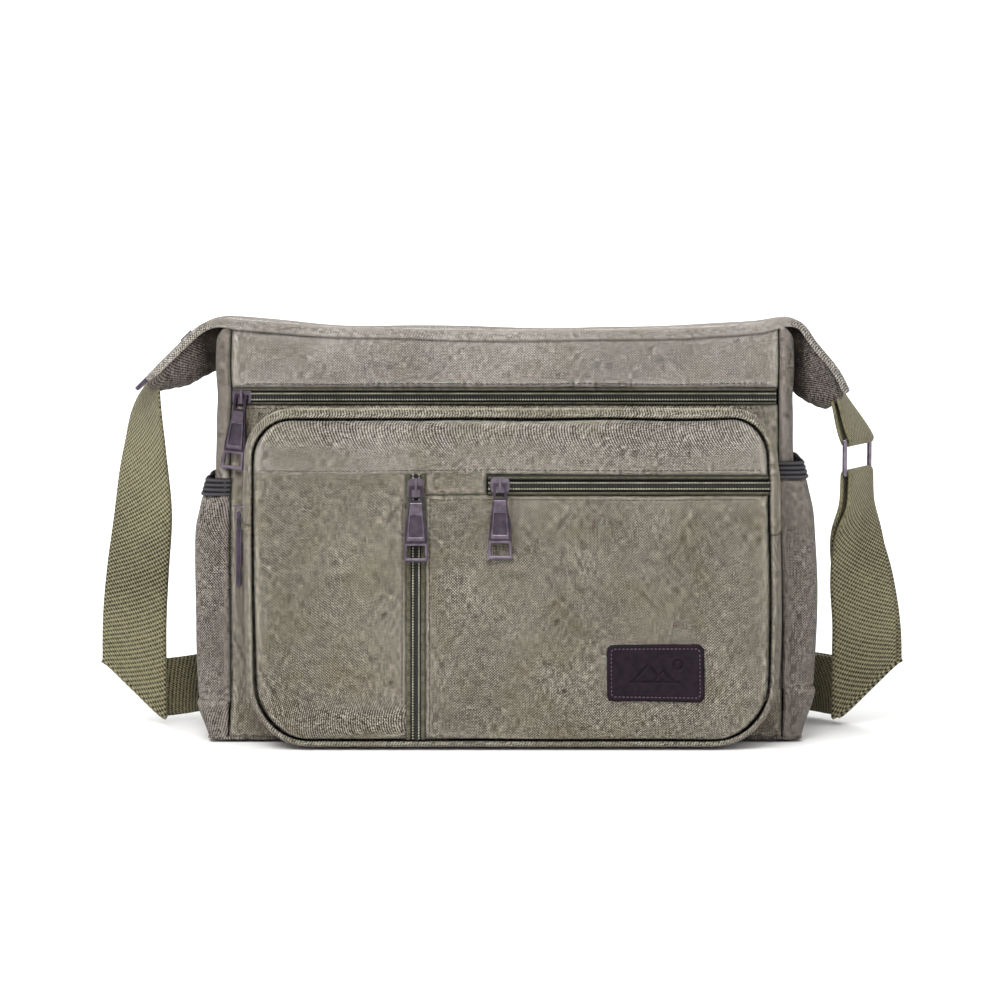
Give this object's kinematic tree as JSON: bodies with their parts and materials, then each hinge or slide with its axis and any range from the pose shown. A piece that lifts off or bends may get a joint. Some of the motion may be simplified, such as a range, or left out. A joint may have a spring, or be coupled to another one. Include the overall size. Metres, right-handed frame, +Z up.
{
  "type": "messenger bag",
  "caption": "Canvas messenger bag with zipped main body, boxed zip pocket, side pockets, winged top corners and an adjustable webbing shoulder strap.",
  "frame": {"origin": "middle of the flat canvas base, on the surface the bag stands on", "axes": "+X along the bag to the right seen from the front, -Y out of the front pocket, +Z up"},
  "size_m": [0.475, 0.1319, 0.242],
  "materials": {
    "canvas": "washed cotton canvas, heathered grey olive",
    "webbing": "ribbed cotton webbing, olive",
    "zip_coil": "nylon coil, satin",
    "gunmetal": "dark plated die-cast zinc, satin",
    "elastic": "ribbed black elastic",
    "leather": "embossed, dark plum brown",
    "lining": "smooth polyester lining",
    "board": "matt polyethylene sheet"
  },
  "bodies": {
    "front_zip_pull": {"front_zip_pull": "gunmetal"},
    "back_zip_slider": {"back_zip_slider": "gunmetal"},
    "back_zip_pull": {"back_zip_pull": "gunmetal"},
    "vertical_zip_slider": {"vertical_zip_slider": "gunmetal"},
    "vertical_zip_pull": {"vertical_zip_pull": "gunmetal"},
    "flat_zip_slider": {"flat_zip_slider": "gunmetal"},
    "flat_zip_pull": {"flat_zip_pull": "gunmetal"},
    "pocket_zip_slider": {"pocket_zip_slider": "gunmetal"},
    "pocket_zip_pull": {"pocket_zip_pull": "gunmetal"},
    "main_zip_slider": {"main_zip_slider": "gunmetal"},
    "main_zip_pull": {"main_zip_pull": "gunmetal"},
    "ring": {"strap_ring": "gunmetal", "strap_ring_loop": "webbing"},
    "tri_glide": {"tri_glide": "gunmetal", "strap_end_loop": "webbing"},
    "root": {"back_panel": "canvas", "back_panel_top": "canvas", "back_zip_chain": "zip_coil", "base_board": "board", "base_panel": "canvas", "ear_left": "canvas", "ear_right": "canvas", "flat_zip_chain": "zip_coil", "front_panel": "canvas", "front_panel_top": "canvas", "front_zip_chain": "zip_coil", "front_zip_slider": "gunmetal", "inner_pocket": "lining", "leather_patch": "leather", "main_zip_chain": "zip_coil", "pocket_elastic_left": "elastic", "pocket_elastic_right": "elastic", "pocket_gusset_front": "canvas", "pocket_gusset_lower": "canvas", "pocket_gusset_rear": "canvas", "pocket_left_panel": "canvas", "pocket_right_panel": "canvas", "pocket_yoke": "canvas", "pocket_zip_chain": "zip_coil", "pocket_zip_welt": "canvas", "side_gusset_left": "canvas", "side_gusset_right": "canvas", "side_pocket_left": "canvas", "side_pocket_right": "canvas", "strap_back_run": "webbing", "strap_left_drop": "webbing", "strap_left_fold": "webbing", "strap_return_drop": "webbing", "strap_return_fold": "webbing", "strap_return_run": "webbing", "strap_right_drop": "webbing", "strap_right_fold": "webbing", "strap_tab": "webbing", "top_band_back": "canvas", "top_band_front": "canvas", "vertical_zip_chain": "zip_coil", "zip_end_tab": "canvas"}
  },
  "joints": [
    {"name": "front_pull_hinge", "type": "hinge", "parent": "root", "child": "front_zip_pull", "pos_m": [-0.152, -0.03274, 0.19949], "axis": [-0.9199, 0.3825, 0.0869], "range_deg": [0, 105]},
    {"name": "back_zip_slide", "type": "slide", "parent": "root", "child": "back_zip_slider", "axis": [-1, 0, 0], "range_m": [0, 0.28]},
    {"name": "back_pull_hinge", "type": "hinge", "parent": "back_zip_slider", "child": "back_zip_pull", "pos_m": [0.14, 0.03274, 0.19949], "axis": [1, 0, 0], "range_deg": [0, 160]},
    {"name": "vertical_zip_slide", "type": "slide", "parent": "root", "child": "vertical_zip_slider", "axis": [0, -0.1386, -0.9904], "range_m": [0, 0.101]},
    {"name": "vertical_pull_hinge", "type": "hinge", "parent": "vertical_zip_slider", "child": "vertical_zip_pull", "pos_m": [-0.051, -0.05822, 0.14893], "axis": [-1, 0, 0], "range_deg": [0, 160]},
    {"name": "flat_zip_slide", "type": "slide", "parent": "root", "child": "flat_zip_slider", "axis": [1, 0, 0], "range_m": [0, 0.144]},
    {"name": "flat_pull_hinge", "type": "hinge", "parent": "flat_zip_slider", "child": "flat_zip_pull", "pos_m": [-0.003, -0.05801, 0.15042], "axis": [-1, 0, 0], "range_deg": [0, 160]},
    {"name": "pocket_zip_slide", "type": "slide", "parent": "root", "child": "pocket_zip_slider", "axis": [0, 0.1081, 0.9941], "range_m": [0, 0.02]},
    {"name": "pocket_pull_hinge", "type": "hinge", "parent": "pocket_zip_slider", "child": "pocket_zip_pull", "pos_m": [-0.1529, -0.04554, 0.133], "axis": [0, 0.9941, -0.1081], "range_deg": [0, 160]},
    {"name": "main_zip_slide", "type": "slide", "parent": "root", "child": "main_zip_slider", "axis": [-0.7139, 0, -0.7002], "range_m": [0, 0.012]},
    {"name": "main_pull_hinge", "type": "hinge", "parent": "main_zip_slider", "child": "main_zip_pull", "pos_m": [-0.18514, 0, 0.23128], "axis": [0, 1, 0], "range_deg": [0, 150]},
    {"name": "ring_swing", "type": "hinge", "parent": "root", "child": "ring", "pos_m": [0.2065, 0, 0.172], "axis": [0.4384, 0.8988, 0], "range_deg": [-15, 15]},
    {"name": "glide_slide", "type": "slide", "parent": "root", "child": "tri_glide", "axis": [1, 0, 0], "range_m": [-0.006, 0.025]}
  ]
}
